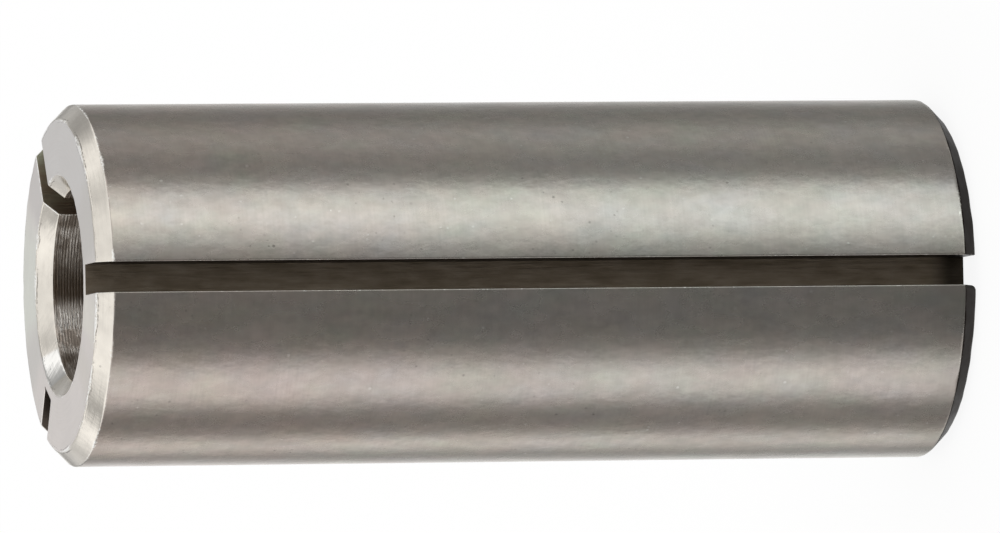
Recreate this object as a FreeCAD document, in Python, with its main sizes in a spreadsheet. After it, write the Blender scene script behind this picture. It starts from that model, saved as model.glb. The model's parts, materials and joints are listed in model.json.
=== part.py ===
"""Collet reducer sleeve: a slotted steel bush that lets a collet grip a thinner shank.

The sleeve is one turned and slotted piece, in millimetres. Its axis is +Z and it stands on an
end face at z = 0, with the origin at the centre of that face. Slots are sawn along its whole
length at equal angles round the axis. The one on +X is the split: it goes through the wall, so
that the sleeve can close on the shank. The others are blind grooves that make the wall supple.
"""
import FreeCAD, Part
import os
import Sketcher

# Driving dimensions
DIMENSIONS = {
    "outer_diameter": 12.0,
    "bore_diameter": 6.35,
    "sleeve_length": 30.0,
    "rim_chamfer": 0.5,
    "mouth_chamfer": 0.5,
    "slot_width": 1.0,
    "groove_depth": 2.0,
    "slot_count": 3,
}

# How a sketch numbers its own axes, the two ends of a line, and its root point
ACROSS_AXIS_INDEX, UPWARD_AXIS_INDEX = -1, -2
START_INDEX, END_INDEX = 1, 2
ROOT = (ACROSS_AXIS_INDEX, START_INDEX)


def make_sheet(doc):
    """Write the driving dimensions into a spreadsheet, each under its alias."""
    sheet = doc.addObject("Spreadsheet::Sheet", "sizes")
    for row, (alias, value) in enumerate(DIMENSIONS.items(), start=1):
        sheet.set(f"A{row}", alias)
        sheet.set(f"B{row}", str(value))
        sheet.setAlias(f"B{row}", alias)
    doc.recompute()
    return sheet


def origin_item(body, role):
    """Return the plane or axis of the body's own origin that has this role."""
    return next(item for item in body.Origin.OriginFeatures if item.Role == role)


def new_sketch(body, name, role):
    """Return an empty sketch on a plane of the body's own origin."""
    sketch = body.newObject("Sketcher::SketchObject", name)
    sketch.AttachmentSupport = (origin_item(body, role), [""])
    sketch.MapMode = "FlatFace"
    return sketch


def draw_outline(sketch, corners):
    """Draw a closed outline, in which line number n runs from corner n to the next corner."""
    points = [FreeCAD.Vector(x, y, 0) for x, y in corners]
    for start, end in zip(points, points[1:] + points[:1]):
        sketch.addGeometry(Part.LineSegment(start, end), False)
    for line in range(len(points)):
        following = (line + 1) % len(points)
        meeting = Sketcher.Constraint("Coincident", line, END_INDEX, following, START_INDEX)
        sketch.addConstraint(meeting)


def dimension(sketch, kind, first, second, name, rule):
    """Hold the distance from a point to one on its positive side to a rule on the sizes."""
    step = sketch.getPoint(*second) - sketch.getPoint(*first)
    drawn = step.x if kind == "DistanceX" else step.y
    number = sketch.addConstraint(Sketcher.Constraint(kind, *first, *second, drawn))
    sketch.renameConstraint(number, name)
    sketch.setExpression(f"Constraints.{name}", rule)


def dimension_chamfer(sketch, line, name, rule):
    """Hold the two legs of a chamfer line to one rule, which keeps it at 45 degrees."""
    for kind, axis in (("DistanceX", "x"), ("DistanceY", "y")):
        ends = (START_INDEX, END_INDEX)
        low, high = sorted(ends, key=lambda end: getattr(sketch.getPoint(line, end), axis))
        dimension(sketch, kind, (line, low), (line, high), f"{name}_{axis}", rule)


def turn_blank(body, sizes):
    """Turn the plain sleeve: a tube with chamfered rims and a countersink at each mouth."""
    outside = sizes.outer_diameter / 2
    inside = sizes.bore_diameter / 2
    top = sizes.sleeve_length
    rim = sizes.rim_chamfer
    mouth = sizes.mouth_chamfer
    sketch = new_sketch(body, "wall_section", "XZ_Plane")
    draw_outline(sketch, [
        (inside + mouth, 0),
        (outside - rim, 0),
        (outside, rim),
        (outside, top - rim),
        (outside - rim, top),
        (inside + mouth, top),
        (inside, top - mouth),
        (inside, mouth),
    ])
    lower_face, lower_rim, outer_wall, upper_rim, upper_face, upper_mouth, bore_wall, lower_mouth = range(8)
    for face in (lower_face, upper_face):
        sketch.addConstraint(Sketcher.Constraint("Horizontal", face))
    for wall in (outer_wall, bore_wall):
        sketch.addConstraint(Sketcher.Constraint("Vertical", wall))
    seat = Sketcher.Constraint("PointOnObject", lower_face, START_INDEX, ACROSS_AXIS_INDEX)
    sketch.addConstraint(seat)
    outer_corner = (outer_wall, START_INDEX)
    bore_corner = (bore_wall, START_INDEX)
    top_corner = (upper_face, START_INDEX)
    dimension(sketch, "DistanceX", ROOT, outer_corner, "outer_radius", "sizes.outer_diameter / 2")
    dimension(sketch, "DistanceX", ROOT, bore_corner, "bore_radius", "sizes.bore_diameter / 2")
    dimension(sketch, "DistanceY", ROOT, top_corner, "length", "sizes.sleeve_length")
    dimension_chamfer(sketch, lower_rim, "lower_rim", "sizes.rim_chamfer")
    dimension_chamfer(sketch, upper_rim, "upper_rim", "sizes.rim_chamfer")
    dimension_chamfer(sketch, lower_mouth, "lower_mouth", "sizes.mouth_chamfer")
    dimension_chamfer(sketch, upper_mouth, "upper_mouth", "sizes.mouth_chamfer")

    blank = body.newObject("PartDesign::Revolution", "turned_blank")
    blank.Profile = sketch
    blank.ReferenceAxis = (sketch, ["V_Axis"])
    blank.Angle = 360
    return blank


def saw_slot(body, sizes, name, floor):
    """Saw a slot along the whole sleeve at +X, from its floor's distance out past the rim.

    The floor is flat, as a saw leaves it. A slot with no floor runs in to the sleeve's axis.
    """
    half_width = sizes.slot_width / 2
    sketch = new_sketch(body, f"{name}_section", "XY_Plane")
    drawn_floor = sizes.outer_diameter / 2 - sizes.groove_depth if floor else 0
    draw_outline(sketch, [
        (drawn_floor, -half_width),
        (sizes.outer_diameter, -half_width),
        (sizes.outer_diameter, half_width),
        (drawn_floor, half_width),
    ])
    near_side, run_out, far_side, inner_end = range(4)
    for side in (near_side, far_side):
        sketch.addConstraint(Sketcher.Constraint("Horizontal", side))
    sketch.addConstraint(Sketcher.Constraint("Vertical", run_out))
    upper_corner = (inner_end, START_INDEX)
    lower_corner = (inner_end, END_INDEX)
    balance = Sketcher.Constraint("Symmetric", *upper_corner, *lower_corner, ACROSS_AXIS_INDEX)
    sketch.addConstraint(balance)
    dimension(sketch, "DistanceY", lower_corner, upper_corner, "width", "sizes.slot_width")
    dimension(sketch, "DistanceX", ROOT, (run_out, START_INDEX), "run_out", "sizes.outer_diameter")
    if floor:
        dimension(sketch, "DistanceX", ROOT, upper_corner, "floor", floor)
    else:
        sketch.addConstraint(Sketcher.Constraint("PointOnObject", *upper_corner, UPWARD_AXIS_INDEX))

    slot = body.newObject("PartDesign::Pocket", name)
    slot.Profile = sketch
    slot.Type = "ThroughAll"
    slot.Reversed = True
    return slot


def repeat_round_axis(body, feature):
    """Repeat a slot at equal angles round the sleeve's axis."""
    pattern = body.newObject("PartDesign::PolarPattern", "groove_pattern")
    pattern.Originals = [feature]
    pattern.Axis = (origin_item(body, "Z_Axis"), [""])
    pattern.Angle = 360
    pattern.setExpression("Occurrences", "sizes.slot_count")
    body.Tip = pattern
    return pattern


def check_model(doc, body, steps):
    """Stop if an object failed, if the solid is not sound, or if a step cut nothing away."""
    for item in doc.Objects:
        if "Invalid" in item.State or "Error" in item.State:
            raise RuntimeError(f"{item.Label} failed: {item.State}")
    if body.Shape.isNull() or not body.Shape.isValid():
        raise RuntimeError(f"{body.Label} is not a valid solid")
    for before, after in zip(steps, steps[1:]):
        removed = before.Shape.Volume - after.Shape.Volume
        print(f"{after.Label} removes {removed:.3f} cubic mm")
        if removed <= 0:
            raise RuntimeError(f"{after.Label} cuts nothing")


def main():
    """Model the sleeve and write its solid."""
    doc = FreeCAD.newDocument("collet_reducer_sleeve")
    sizes = make_sheet(doc)
    body = doc.addObject("PartDesign::Body", "reducer_sleeve")
    body.Label = "reducer_sleeve"
    blank = turn_blank(body, sizes)
    groove = saw_slot(body, sizes, "blind_groove", "sizes.outer_diameter / 2 - sizes.groove_depth")
    pattern = repeat_round_axis(body, groove)
    split = saw_slot(body, sizes, "split", None)
    doc.recompute()
    check_model(doc, body, [blank, groove, pattern, split])
    os.makedirs("parts", exist_ok=True)
    body.Shape.exportStep(f"parts/{body.Label}.step")
    print(f"{body.Label} holds {body.Shape.Volume:.3f} cubic mm")


main()
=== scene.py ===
"""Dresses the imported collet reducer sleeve: its worked surfaces, its finishes and a plain studio.

The sleeve is one steel piece that stands on its lower end, with its axis on +Z, its split on +X
and a blind groove a third of a turn to either side. All lengths are in metres.
"""
from __future__ import annotations

import json
import logging
import math
from dataclasses import dataclass, field
from enum import Enum
from functools import cache
from typing import Any

import bmesh
import bpy
import numpy as np
from mathutils import Matrix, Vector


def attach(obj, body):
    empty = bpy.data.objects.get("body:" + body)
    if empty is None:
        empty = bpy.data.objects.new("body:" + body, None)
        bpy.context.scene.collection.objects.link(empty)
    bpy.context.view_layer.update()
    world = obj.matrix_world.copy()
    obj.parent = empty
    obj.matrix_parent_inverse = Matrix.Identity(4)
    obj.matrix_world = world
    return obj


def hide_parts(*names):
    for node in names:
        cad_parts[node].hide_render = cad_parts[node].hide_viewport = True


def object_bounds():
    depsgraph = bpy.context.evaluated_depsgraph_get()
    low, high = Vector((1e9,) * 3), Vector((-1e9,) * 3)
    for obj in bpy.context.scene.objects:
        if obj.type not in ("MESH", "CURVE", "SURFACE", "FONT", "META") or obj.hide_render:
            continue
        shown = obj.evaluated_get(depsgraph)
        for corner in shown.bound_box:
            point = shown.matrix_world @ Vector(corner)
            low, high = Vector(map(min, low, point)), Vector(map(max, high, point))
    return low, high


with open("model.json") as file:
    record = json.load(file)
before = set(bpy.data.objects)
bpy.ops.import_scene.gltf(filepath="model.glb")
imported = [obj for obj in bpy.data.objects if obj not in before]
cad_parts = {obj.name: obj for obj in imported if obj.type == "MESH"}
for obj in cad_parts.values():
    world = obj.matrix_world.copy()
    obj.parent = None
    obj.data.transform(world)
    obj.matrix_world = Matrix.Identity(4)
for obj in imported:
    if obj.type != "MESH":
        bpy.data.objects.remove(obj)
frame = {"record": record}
lo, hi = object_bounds()

LOG = logging.getLogger("reducer_sleeve")
MM = 0.001
HALF_TURN = 180.0
RADIAN = HALF_TURN / math.pi
RING_PITCH = 0.1 * MM
Color = tuple[float, float, float]
WHITE: Color = (1.0, 1.0, 1.0)


class Zone(Enum):
    """The ways in which the sleeve's surfaces were worked, in the order of its material slots."""

    GROUND = 0
    FACED = 1
    TURNED = 2
    BORED = 3
    SPLIT_WALL = 4
    GROOVE_WALL = 5
    GROOVE_FLOOR = 6
    # The lower rim's chamfer, painted almost black as shade.
    SCALED = 7


class Corner(Enum):
    """The corners of the wall's section, in order, from the lower end face inwards."""

    LOWER_WEB = 0
    LOWER_MOUTH = 1
    LOWER_BORE = 2
    UPPER_BORE = 3
    UPPER_MOUTH = 4
    UPPER_WEB = 5
    UPPER_RIM = 6
    UPPER_SIDE = 7
    LOWER_SIDE = 8
    LOWER_RIM = 9


@dataclass(frozen=True)
class SleeveSizes:
    """The sleeve's measures.

    Attributes:
        outer_radius: Radius of the ground outside.
        bore_radius: Radius of the bore.
        length: Height of the standing sleeve.
        rim_chamfer: Leg of the chamfer round each end.
        mouth_chamfer: Leg of the countersink at each mouth of the bore.
        slot_width: Width of the split and of the blind grooves.
        groove_depth: Depth of a blind groove below the outside.
        slot_count: Slots in a turn, the split among them.
    """

    outer_radius: float
    bore_radius: float
    length: float
    rim_chamfer: float
    mouth_chamfer: float
    slot_width: float = 1.0 * MM
    groove_depth: float = 2.0 * MM
    slot_count: int = 3

    @classmethod
    def from_frame(cls, record: dict[str, Any], height: float) -> SleeveSizes:
        """Read the sizes from the record's mounts and the part's height.

        Args:
            record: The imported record.
            height: The height of the part's box.

        Returns:
            The sleeve's sizes.
        """
        dims = {mount["name"]: mount["dims"] for mount in record["mounts"]}
        bore = dims["bore"]
        outside = dims["outside"]
        return cls(
            outer_radius=outside["r_mm"] * MM,
            bore_radius=bore["r_mm"] * MM,
            length=height,
            rim_chamfer=(height - outside["length_mm"] * MM) / 2,
            mouth_chamfer=(height - bore["length_mm"] * MM) / 2,
        )

    @property
    def floor_distance(self) -> float:
        """Distance of a blind groove's flat floor from the axis."""
        return self.outer_radius - self.groove_depth

    @property
    def floor_corner(self) -> float:
        """Radius at which a blind groove's floor meets its walls."""
        return math.hypot(self.floor_distance, self.slot_width / 2)

    def slot_angle(self, number: int) -> float:
        """Angle of a slot's middle about +Z; the split is number 0."""
        return 2 * math.pi * number / self.slot_count


@dataclass(frozen=True)
class Stretch:
    """One straight run of the wall's section, from its own start corner to the next one's.

    Attributes:
        corner: The corner that the run leaves.
        start: Where that corner is, as (r, z).
        zone: How the run is worked.
        steps: Rows between the rows of its two edges.
        edge: How far the worn edge stands back from the start corner, or 0 in a flat face.
        lip: How bright that edge's worn lip is painted, as wear and as a highlight, from 0 to 1.
        shadow: How dark the line before that edge is, from 0 to 2.
        trail: How dark the line after that edge is, from 0 to 2.
    """

    corner: Corner
    start: tuple[float, float]
    zone: Zone
    steps: int
    edge: float = 0
    lip: float = 0
    shadow: float = 0
    trail: float = 0


@dataclass(frozen=True)
class Rows:
    """Rows of the section, as one value a row.

    Attributes:
        place: Where a row is, as (r, z).
        slide: How far it moves where its edge is worn twice as wide, as (r, z).
        phase: Angle by which its edge's pattern of wear is turned round the axis.
        zone: How the strip after the row is worked.
        lip: Edge wear and painted light: 1 on a bright lip, partly a painted highlight, below 0 in the
            painted shade line beside it.
        crest: Height of the boring ring's crest there, from 0 to 1.
        ringed: 1 on the rows of the boring rings, 0 elsewhere.
    """

    place: np.ndarray
    slide: np.ndarray
    phase: np.ndarray
    zone: np.ndarray
    lip: np.ndarray
    crest: np.ndarray
    ringed: np.ndarray

    @classmethod
    def join(cls, parts: list[Rows]) -> Rows:
        """Put rows one after the other."""
        joined = {}
        for name in cls.__dataclass_fields__:
            joined[name] = np.concatenate([getattr(part, name) for part in parts])
        return cls(**joined)

    def outward(self) -> np.ndarray:
        """Work out each row's outward direction: the step between its neighbours, turned left."""
        step = np.roll(self.place, -1, axis=0) - np.roll(self.place, 1, axis=0)
        normal = np.stack([-step[:, 1], step[:, 0]], axis=1)
        return normal / np.linalg.norm(normal, axis=1, keepdims=True)


@dataclass(frozen=True)
class Patch:
    """A grid of points on one surface of the sleeve.

    Attributes:
        points: Rows by columns of (x, y, z, lip, crest).
        zone: How the faces after each row are worked.
        closed: True if the last row joins the first.
    """

    points: np.ndarray
    zone: np.ndarray
    closed: bool = False

    def faces(self, first: int) -> np.ndarray:
        """List the grid's four-sided faces.

        Args:
            first: Number of the patch's first vertex in the whole mesh.

        Returns:
            One line of four vertex numbers a face.
        """
        rows, columns = self.points.shape[:2]
        number = first + np.arange(rows * columns).reshape(rows, columns)
        if self.closed:
            number = np.vstack([number, number[:1]])
        corners = (number[:-1, :-1], number[1:, :-1], number[1:, 1:], number[:-1, 1:])
        return np.stack(corners, axis=-1).reshape(-1, 4)

    def face_zones(self) -> np.ndarray:
        """Give each face the zone of the row before it."""
        return np.repeat(self.zone, self.points.shape[1] - 1)


def ripple(angle: np.ndarray, slowest: int, fastest: int, seed: int) -> np.ndarray:
    """Work out an uneven wave round the axis, mostly between -1 and 1.

    It is a sum of sines of the angle, each with a whole number of waves to the turn and a phase
    drawn from the seed, divided by the square root of their number.

    Args:
        angle: Angles in radians.
        slowest: Waves to the turn of the slowest sine.
        fastest: Waves to the turn of the fastest sine.
        seed: Seed of the phases.

    Returns:
        The wave at each angle.
    """
    phases = np.random.default_rng(seed).uniform(0, 2 * math.pi, fastest - slowest + 1)
    total = np.zeros_like(angle)
    for waves, phase in zip(range(slowest, fastest + 1), phases):
        total += np.sin(waves * angle + phase)
    return total / math.sqrt(phases.size)


def fractions(curve: np.ndarray) -> np.ndarray:
    """Give each point's share of the way along a curve, by the summed lengths of its steps."""
    steps = np.linalg.norm(np.diff(curve[:, :3], axis=0), axis=1)
    travelled = np.concatenate([[0.0], np.cumsum(steps)])
    return travelled / travelled[-1]


def fill_between(
    inner: np.ndarray, outer: np.ndarray, top: np.ndarray, bottom: np.ndarray,
) -> np.ndarray:
    """Span a surface between four curves that meet at their ends, as a Coons patch does.

    With u across and v down, a point is the blend of the inner and outer curves by u, plus the
    blend of the top and bottom curves by v, less the blend of the four corners by both.

    Args:
        inner: Left side, from top to bottom.
        outer: Right side, from top to bottom, with as many points.
        top: Upper side, from left to right.
        bottom: Lower side, from left to right, with as many points.

    Returns:
        Rows by columns of points.
    """
    u = fractions(top)[None, :, None]
    v = fractions(outer)[:, None, None]
    across = (1 - u) * inner[:, None] + u * outer[:, None]
    down = (1 - v) * top[None] + v * bottom[None]
    upper = (1 - u) * top[0] + u * top[-1]
    lower = (1 - u) * bottom[0] + u * bottom[-1]
    points = across + down - (1 - v) * upper - v * lower
    points[1:-1, 1:-1, 3:] = 0
    return points


@dataclass(frozen=True)
class SleeveShape:
    """Builds the sleeve's skin from its section, carried round the axis between the slots.

    Attributes:
        sizes: The sleeve's measures.
        fine_edge: How far a worn edge stands back from a sharp corner.
        rough_edge: The same round the upper end face, whose edges are ragged.
        soft_edge: The same on the lower end, which is worn rounder.
        slot_edge: The same along the slots.
        slot_lips: How bright each slot's worn edges are painted, as wear and as a highlight, on the land
            before it and after it.
        lip_line: Width of the bright and dark lines beside an edge.
        raggedness: How much the width of a worn edge varies, as a share of it.
        wear_waves: Waves to the turn in that width, the slowest and the fastest.
        lip_waves: The same for the strength of the lips.
        lip_strength: Middle, swing and least strength of the lips.
        phase_step: Angle by which one corner's wear is turned from the last one's, in radians.
        knock_slot: Number of the slot before which the land's lower corner is knocked round.
        knock_radius: Radius of that corner.
        knock_height: How high its wear reaches up the slot, in radii.
        ring_depth: Depth of a boring ring.
        ringed_depth: How far into each mouth the rings are cut as shape.
        first_ring: Half pitches from the mouth's edge to the first ring's row.
        last_ring: Height of the last ring cut as shape, as a share of the first one's.
        middle_rows: Rows along the bore between its ringed ends.
        land_columns: Columns between two slots.
        floor_columns: Columns across a blind groove.
        sewing_gap: Distance below which two points are sewn into one.
        sharp_angle: Angle between two faces from which their edge is sharp, in degrees.
    """

    sizes: SleeveSizes
    fine_edge: float = 0.03 * MM
    rough_edge: float = 0.045 * MM
    soft_edge: float = 0.06 * MM
    slot_edge: float = 0.025 * MM
    slot_lips: tuple[tuple[float, float], ...] = ((0.35, 0.9), (0.5, 0.5), (0.28, 0.3))
    lip_line: float = 0.04 * MM
    raggedness: float = 0.5
    wear_waves: tuple[int, int] = (5, 48)
    lip_waves: tuple[int, int] = (2, 17)
    lip_strength: tuple[float, float, float] = (0.6, 0.5, 0.1)
    phase_step: float = 2.4
    knock_slot: int = 2
    knock_radius: float = 0.18 * MM
    knock_height: float = 4.0
    ring_depth: float = 0.012 * MM
    ringed_depth: float = 2.1 * MM
    first_ring: int = 4
    last_ring: float = 0.25
    middle_rows: int = 10
    land_columns: int = 72
    floor_columns: int = 8
    sewing_gap: float = 0.0002 * MM
    sharp_angle: float = 60.0

    def ring_distances(self, run: float) -> np.ndarray:
        """Place rows on the crests and in the valleys of the boring rings at both ends of a run.

        Args:
            run: Length of the bore's wall.

        Returns:
            Distances along the run, half a pitch apart near its ends.
        """
        half_pitch = RING_PITCH / 2
        near = half_pitch * np.arange(self.first_ring, round(self.ringed_depth / half_pitch))
        middle = np.linspace(near[-1], run - near[-1], self.middle_rows + 2)[1:-1]
        return np.concatenate([near, middle, run - near[::-1]])

    def section(self) -> list[Stretch]:
        """List the wall's section as a closed outline.

        It starts at the lower end face, over a blind groove's floor, goes in to the bore, up and
        out over the upper end face, and down the outside.

        Returns:
            The stretches of the outline, in order.
        """
        s = self.sizes
        top = s.length
        bore = s.bore_radius
        mouth = bore + s.mouth_chamfer
        side = s.outer_radius
        rim = side - s.rim_chamfer
        web = s.floor_corner
        wall_steps = self.ring_distances(top - 2 * s.mouth_chamfer).size
        fine, rough, soft = self.fine_edge, self.rough_edge, self.soft_edge
        return [
            Stretch(Corner.LOWER_WEB, (web, 0), Zone.FACED, 2),
            Stretch(Corner.LOWER_MOUTH, (mouth, 0), Zone.TURNED, 3, fine, 0.6, 1),
            Stretch(Corner.LOWER_BORE, (bore, s.mouth_chamfer), Zone.BORED, wall_steps, fine, 0.3),
            Stretch(Corner.UPPER_BORE, (bore, top - s.mouth_chamfer), Zone.TURNED, 3, fine, 0.3),
            Stretch(Corner.UPPER_MOUTH, (mouth, top), Zone.FACED, 2, rough, 0.7, 1.0, 0.5),
            Stretch(Corner.UPPER_WEB, (web, top), Zone.FACED, 7),
            Stretch(Corner.UPPER_RIM, (rim, top), Zone.TURNED, 3, rough, 1, 1.1, 1.1),
            Stretch(Corner.UPPER_SIDE, (side, top - s.rim_chamfer), Zone.GROUND, wall_steps, fine, 0.8),
            Stretch(Corner.LOWER_SIDE, (side, s.rim_chamfer), Zone.SCALED, 3, soft, 0.25),
            Stretch(Corner.LOWER_RIM, (rim, 0), Zone.FACED, 7, soft, 0.2),
        ]

    def stretch_rows(self, before: Stretch, stretch: Stretch, after: Stretch) -> Rows:
        """Turn one stretch into rows, from the middle of its start corner on.

        The corner is rounded by the quadratic curve between the two rows that stand an edge's
        width away from it, so its middle row stands back by a quarter of both steps. Two rows
        beside each edge keep its bright and its dark line narrow.

        Args:
            before: The stretch before it.
            stretch: The stretch.
            after: The stretch after it.

        Returns:
            The stretch's rows.
        """
        start = np.array(stretch.start)
        leg = np.array(after.start) - start
        run = float(np.linalg.norm(leg))
        along = leg / run
        back = np.array(before.start) - start
        back /= np.linalg.norm(back)
        lines = self.lip_line * np.arange(3)
        head = stretch.edge + lines if stretch.edge else np.empty(0)
        tail = run - after.edge - lines[::-1] if after.edge else np.empty(0)
        free_start = head[-1] if head.size else 0
        free_end = tail[0] if tail.size else run
        inner = np.linspace(free_start, free_end, stretch.steps + 2)[1:-1]
        crest = np.zeros(inner.size)
        if stretch.zone is Zone.BORED:
            inner = self.ring_distances(run)
            depth = np.minimum(inner, run - inner)
            on_crest = np.round(depth / RING_PITCH * 2) % 2 == 0
            fade = np.clip(1 + self.last_ring - depth / self.ringed_depth, 0, 1)
            crest = np.where(on_crest & (depth < self.ringed_depth), fade, 0)
        ringed = np.full(inner.size, float(stretch.zone is Zone.BORED))
        distance = np.concatenate([head, inner, tail])
        slide = np.zeros((distance.size, 2))
        slide[: head.size] = along * stretch.edge
        slide[distance.size - tail.size:] = -along * after.edge
        lip = np.zeros(distance.size)
        lip[: head.size] = np.array([stretch.lip, -stretch.trail, 0])[: head.size]
        lip[distance.size - tail.size:] = np.array([0, -after.shadow, after.lip])[: tail.size]
        turned = np.full(distance.size, float(stretch.corner.value))
        turned[distance.size - tail.size:] = after.corner.value
        padding = (np.zeros(head.size), np.zeros(tail.size))
        corner_step = (along + back) * stretch.edge / 4
        return Rows(
            place=np.vstack([start + corner_step, start + distance[:, None] * along]),
            slide=np.vstack([corner_step, slide]),
            phase=self.phase_step * np.concatenate([[stretch.corner.value], turned]),
            zone=np.full(distance.size + 1, stretch.zone.value),
            lip=np.concatenate([[stretch.lip], lip]),
            crest=np.concatenate([[0], padding[0], crest, padding[1]]),
            ringed=np.concatenate([[0], padding[0], ringed, padding[1]]),
        )

    def rows(self) -> tuple[Rows, dict[Corner, int]]:
        """Turn the section into a closed loop of rows.

        Returns:
            The rows, and the number of the row at the middle of each corner.
        """
        stretches = self.section()
        following = stretches[1:] + stretches[:1]
        leading = stretches[-1:] + stretches[:-1]
        parts = [self.stretch_rows(*three) for three in zip(leading, stretches, following)]
        counts = [len(part.zone) for part in parts]
        return Rows.join(parts), dict(zip(Corner, [0, *np.cumsum(counts)[:-1].tolist()]))

    def slot_half_angle(self, radius: np.ndarray, number: int) -> np.ndarray:
        """Half the angle that a slot takes: the arcsine of its half width over the radius.

        Args:
            radius: Distances from the axis.
            number: The slot's number; a blind groove keeps the angle of its floor below it.

        Returns:
            The angles in radians.
        """
        if number % self.sizes.slot_count:
            radius = np.maximum(radius, self.sizes.floor_corner)
        return np.arcsin(self.sizes.slot_width / 2 / radius)

    def carry(self, rows: Rows, angle: np.ndarray, sunk: np.ndarray | float = 0) -> np.ndarray:
        """Carry rows round the axis.

        A point stands at the row's place, plus the slide times an uneven wave of the angle, less
        the outward direction times the depth sunk. A boring ring's crest stands in by its depth,
        and its rows climb by one pitch in a turn, as the tool's feed left them. Another wave makes
        the lips strong here and faint there.

        Args:
            rows: The rows.
            angle: Rows by columns of angles.
            sunk: How deep each point lies below the surface.

        Returns:
            Rows by columns of (x, y, z, lip, crest).
        """
        wear = self.raggedness * ripple(angle + rows.phase[:, None], *self.wear_waves, seed=11)
        place = rows.place[:, None] + rows.slide[:, None] * wear[..., None]
        place = place - rows.outward()[:, None] * np.broadcast_to(sunk, angle.shape)[..., None]
        r = place[..., 0] - self.ring_depth * rows.crest[:, None]
        turn = angle / (2 * math.pi) - 0.5
        z = place[..., 1] + RING_PITCH * turn * rows.ringed[:, None]
        middle, swing, least = self.lip_strength
        uneven = ripple(angle + 2 * rows.phase[:, None], *self.lip_waves, seed=5)
        lip = rows.lip[:, None] * np.clip(middle + swing * uneven, least, 1)
        crest = np.broadcast_to(rows.crest[:, None], angle.shape)
        return np.stack([r * np.cos(angle), r * np.sin(angle), z, lip, crest], axis=-1)

    def land(self, rows: Rows, uncut: slice, number: int) -> Patch:
        """Build the wall between one slot and the next.

        A column's angle is the blend of the angles of the two slots' edges. The last columns at
        each slot round its edge: they run down from the surface into the slot's wall.

        Args:
            rows: The closed loop of rows.
            uncut: The rows that a blind groove leaves whole.
            number: The number of the slot before it.

        Returns:
            The patch.
        """
        s = self.sizes
        edge = self.slot_edge
        arc = np.array([0, edge / 4, edge, edge + self.lip_line])
        sink = np.array([edge, edge / 4, 0, 0])
        bright = np.array([1.0, 1.0, 0.9, 0.0])
        plain = np.zeros(self.land_columns - 1)
        between = np.arange(1, self.land_columns) / self.land_columns
        share = np.concatenate([np.zeros(4), between, np.ones(4)])
        arc = np.concatenate([arc, plain, -arc[::-1]])
        radius = rows.place[:, 0]
        first = s.slot_angle(number) + self.slot_half_angle(radius, number)
        last = s.slot_angle(number + 1) - self.slot_half_angle(radius, number + 1)
        angle = first[:, None] * (1 - share) + last[:, None] * share + arc / radius[:, None]
        cut = np.ones((radius.size, 2))
        for side, slot in enumerate((number, number + 1)):
            if slot % s.slot_count:
                cut[uncut, side] = 0
        sunk = np.concatenate([cut[:, :1] * sink, cut[:, :1] * plain, cut[:, 1:] * sink[::-1]], axis=1)
        points = self.carry(rows, angle, sunk)
        after = self.slot_lips[number][1] * bright
        before = self.slot_lips[(number + 1) % s.slot_count][0] * bright[::-1]
        slot_lip = np.concatenate([cut[:, :1] * after, cut[:, :1] * plain, cut[:, 1:] * before], axis=1)
        points[..., 3] = np.where(slot_lip > 0, np.maximum(points[..., 3], slot_lip), points[..., 3])
        if number + 1 == self.knock_slot:
            inset = (last[:, None] - angle) * radius[:, None]
            points[..., 2] += self.knocked(radius, points[..., 2], inset)
        return Patch(points, rows.zone, closed=True)

    def knocked(self, radius: np.ndarray, height: np.ndarray, inset: np.ndarray) -> np.ndarray:
        """Work out how far a knocked lower corner stands above the sharp one.

        At the end face it follows a quarter circle over the distance from the slot, which fades
        with the height above the face, and over the inner half of the way to the groove's floor.

        Args:
            radius: Distance of each row from the axis.
            height: Height of each point.
            inset: Distance of each point from the slot's wall.

        Returns:
            The rise of each point.
        """
        knock = self.knock_radius
        short = knock - np.clip(inset, 0, knock)
        rise = knock - np.sqrt(knock**2 - short**2)
        fade = np.clip(1 - height / (self.knock_height * knock), 0, 1)
        depth = (radius - self.sizes.floor_corner) / (self.sizes.outer_radius - self.sizes.floor_corner)
        return rise * fade * np.clip(2 * depth, 0, 1)[:, None]

    def web(self, rows: Rows, uncut: slice, number: int) -> Patch:
        """Build the thin wall under a blind groove, from one end face through the bore to the other.

        On the end faces the radius grows outwards in proportion, so that the face ends on the
        groove's flat floor, where the radius is the floor's distance over the angle's cosine.

        Args:
            rows: The closed loop of rows.
            uncut: The rows that a blind groove leaves whole.
            number: The slot's number.

        Returns:
            The patch.
        """
        s = self.sizes
        inner = Rows(*(getattr(rows, name)[uncut] for name in Rows.__dataclass_fields__))
        half = math.asin(s.slot_width / 2 / s.floor_corner)
        offset = np.linspace(-half, half, self.floor_columns + 1)
        angle = np.broadcast_to(s.slot_angle(number) + offset, (len(inner.zone), offset.size))
        points = self.carry(inner, angle)
        mouth = s.bore_radius + s.mouth_chamfer
        share = np.clip((inner.place[:, 0] - mouth) / (s.floor_corner - mouth), 0, 1)[:, None]
        growth = 1 + share * (s.floor_distance / np.cos(offset) / s.floor_corner - 1)
        points[..., :2] *= growth[..., None]
        return Patch(points, inner.zone[:-1])

    def groove_floor(self, web: Patch, heights: np.ndarray, number: int) -> Patch:
        """Build a blind groove's flat floor, which spans from one end of its web to the other.

        Args:
            web: The web under the groove.
            heights: Heights of the floor's rows, from the top down.
            number: The slot's number; not used.

        Returns:
            The patch.
        """
        points = np.repeat(web.points[-1:], heights.size, axis=0)
        points[1:-1, :, 2] = heights[1:-1, None]
        points[-1] = web.points[0]
        points[1:-1, :, 3:] = 0
        return Patch(points, np.full(heights.size - 1, Zone.GROOVE_FLOOR.value))

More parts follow.
